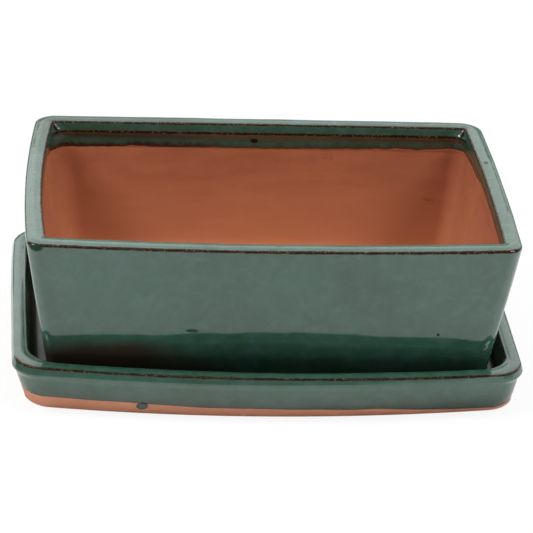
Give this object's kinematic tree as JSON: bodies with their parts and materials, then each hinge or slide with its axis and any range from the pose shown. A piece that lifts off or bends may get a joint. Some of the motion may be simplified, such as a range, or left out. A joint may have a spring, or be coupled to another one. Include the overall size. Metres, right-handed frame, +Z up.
{
  "type": "rectangular planter with saucer",
  "caption": "Rectangular glazed ceramic plant pot with tapered bowed walls and a bare clay inside, standing in a matching shallow saucer that catches drained water.",
  "frame": {"origin": "middle of the footprint box, on the surface the saucer stands on", "axes": "+X along the planter's length, -Y towards the front, +Z up"},
  "size_m": [0.2818, 0.196, 0.0998],
  "materials": {
    "pot_glaze": "glossy dark green glaze outside, bare matt terracotta inside and under the feet",
    "saucer_glaze": "glossy dark green glaze, bare matt terracotta foot band and underside"
  },
  "bodies": {
    "saucer": {"saucer": "saucer_glaze"},
    "pot": {"pot": "pot_glaze"}
  },
  "joints": [
    {"name": "pot_lift", "type": "slide", "parent": "saucer", "child": "pot", "axis": [0, 0, 1], "range_m": [0, 0.12]}
  ]
}
